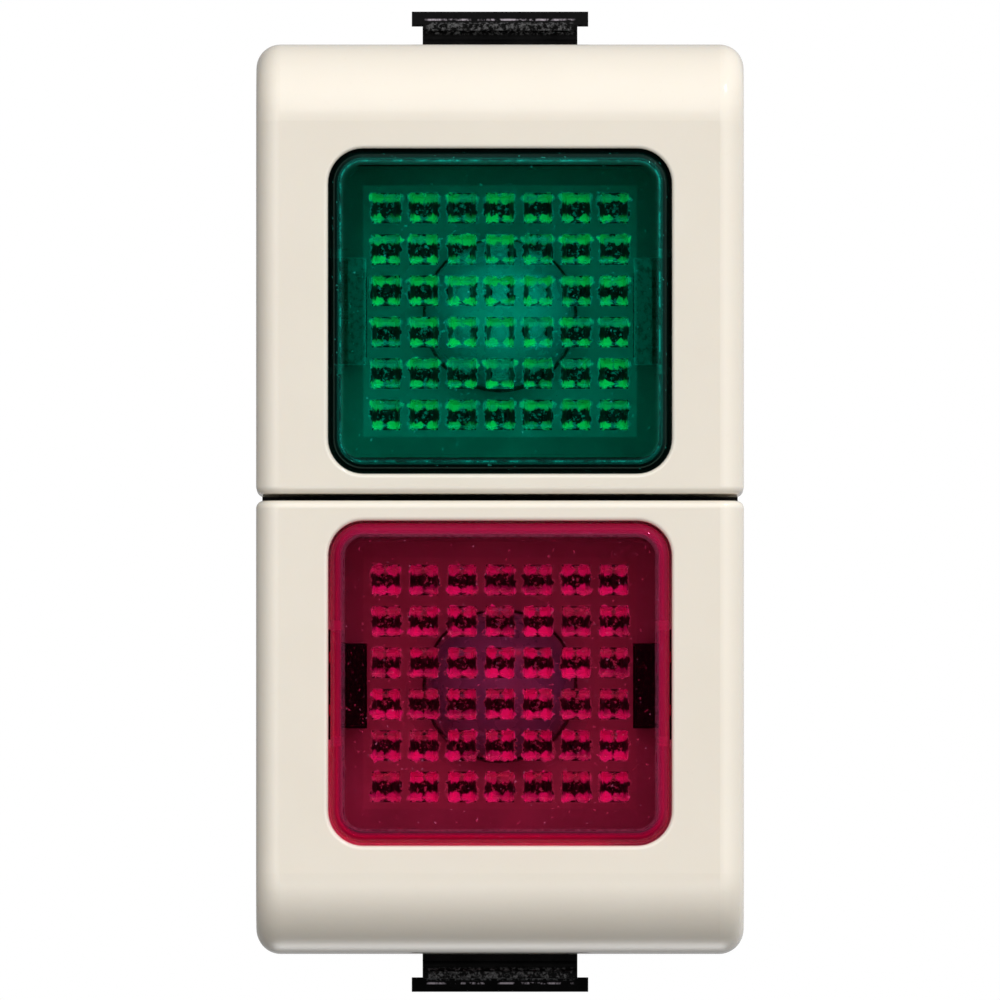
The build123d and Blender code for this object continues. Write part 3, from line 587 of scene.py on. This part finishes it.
def area_light(name, place, target, side, power):
    """A square softbox at place, facing target."""
    data = bpy.data.lights.new(name, "AREA")
    data.shape = "RECTANGLE"
    data.size = side
    data.size_y = side
    data.energy = power
    light = bpy.data.objects.new(name, data)
    bpy.context.scene.collection.objects.link(light)
    light.location = place
    aim_at(light, target)


def sky_patch(tree, vector, azimuth, elevation, power, strength):
    """A soft patch of sky: the cosine from its middle, to a power. Azimuth 0 faces the caps."""
    turn, rise = math.radians(azimuth), math.radians(elevation)
    towards = (
        math.sin(turn) * math.cos(rise),
        -math.cos(turn) * math.cos(rise),
        math.sin(rise),
    )
    dot = tree.nodes.new("ShaderNodeVectorMath")
    dot.operation = "DOT_PRODUCT"
    tree.links.new(vector, dot.inputs[0])
    dot.inputs[1].default_value = towards
    facing = math_node(tree, "MAXIMUM", dot.outputs["Value"], 0.0)
    return math_node(tree, "MULTIPLY", math_node(tree, "POWER", facing, power), strength)


def make_world():
    """White to the camera. As light, a soft tent: brightest ahead, above and to the right, with a
    narrow band behind and below, and a dark spot where the camera stands."""
    world = bpy.data.worlds.new("studio")
    bpy.context.scene.world = world
    world.use_nodes = True
    tree = world.node_tree
    tree.nodes.clear()
    output = tree.nodes.new("ShaderNodeOutputWorld")
    seen = tree.nodes.new("ShaderNodeBackground")
    seen.inputs["Color"].default_value = (1.0, 1.0, 1.0, 1.0)
    seen.inputs["Strength"].default_value = 1.0
    lit = tree.nodes.new("ShaderNodeBackground")
    direction = tree.nodes.new("ShaderNodeTexCoord").outputs["Generated"]
    glow = sky_patch(tree, direction, 0, 10, 2.0, 1.44)
    for azimuth, elevation, power, strength in (
        (20, 45, 2.0, 0.72),
        (90, 30, 2.0, 0.64),
        (140, 0, 3.0, 0.46),
        (180, 30, 1.0, 0.26),
        (-50, 8, 2.0, 0.16),
        (180, -45, 3.0, 0.10),
        (180, -50, 30.0, 2.3),
    ):
        patch = sky_patch(tree, direction, azimuth, elevation, power, strength)
        glow = math_node(tree, "ADD", glow, patch)
    ahead = sky_patch(tree, direction, 0, 1, 1.0, 1.0)
    dark = remap(tree, ahead, 0.955, 0.992, 1.0, 0.02)
    tree.links.new(math_node(tree, "MULTIPLY", glow, dark), lit.inputs["Strength"])
    lit.inputs["Color"].default_value = (1.0, 0.992, 0.98, 1.0)
    path = tree.nodes.new("ShaderNodeLightPath")
    mix = tree.nodes.new("ShaderNodeMixShader")
    tree.links.new(path.outputs["Is Camera Ray"], mix.inputs["Fac"])
    tree.links.new(lit.outputs["Background"], mix.inputs[1])
    tree.links.new(seen.outputs["Background"], mix.inputs[2])
    tree.links.new(mix.outputs["Shader"], output.inputs["Surface"])


def make_floor():
    """A pale round floor, well below the module, hidden from its diffuse and glossy rays."""
    mesh = bpy.data.meshes.new("floor")
    form = bmesh.new()
    bmesh.ops.create_circle(form, cap_ends=True, segments=96, radius=FLOOR_RADIUS)
    form.to_mesh(mesh)
    form.free()
    floor = bpy.data.objects.new("floor", mesh)
    bpy.context.scene.collection.objects.link(floor)
    floor.location = (0.0, 0.0, FLOOR_Z)
    material, tree, shader = new_material("floor_paint")
    place = coords(tree)
    cloud = noise(tree, place, 6.0, 4.0)
    tone = ramp(tree, cloud, [(0.3, (0.78, 0.78, 0.77)), (0.7, (0.82, 0.82, 0.81))])
    tree.links.new(tone, shader.inputs["Base Color"])
    scuffs = noise(tree, place, 60.0, 3.0)
    tree.links.new(remap(tree, scuffs, 0.3, 0.7, 0.55, 0.7), shader.inputs["Roughness"])
    mesh.materials.append(material)
    floor.visible_diffuse = False
    floor.visible_glossy = False


def make_lights():
    """Two compact lamps whose reflections sit in the corners, upper right and lower left."""
    aim = Vector(LAMP_AIM)
    upper = aim + LAMP_DISTANCE * Vector((0.43, -0.5, 0.75))
    lower = aim + LAMP_DISTANCE * Vector((-0.38, -0.5, -0.78))
    area_light("upper_lamp_box", upper, aim, 0.04, 0.50)
    area_light("lower_lamp_box", lower, aim, 0.03, 0.20)


def make_camera():
    """A long lens aimed at the caps' face, from just below level."""
    data = bpy.data.cameras.new("camera")
    data.type = "PERSP"
    data.sensor_width = SENSOR_WIDTH
    data.lens = SENSOR_WIDTH * CAMERA_DISTANCE / VIEW_WIDTH
    data.clip_start = 0.01
    data.clip_end = 5.0
    camera = bpy.data.objects.new("camera", data)
    bpy.context.scene.collection.objects.link(camera)
    bpy.context.scene.camera = camera
    face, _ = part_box("upper_cap")
    target = Vector((0.0, face.y, CAMERA_AIM_Z))
    angle = math.radians(CAMERA_ANGLE)
    back = Vector((0.0, -CAMERA_DISTANCE * math.cos(angle), CAMERA_DISTANCE * math.sin(angle)))
    camera.location = target + back
    aim_at(camera, target)


paint(build_materials())
make_world()
make_floor()
make_lights()
make_camera()
bpy.context.scene.view_settings.view_transform = "Standard"
bpy.context.scene.view_settings.look = "None"
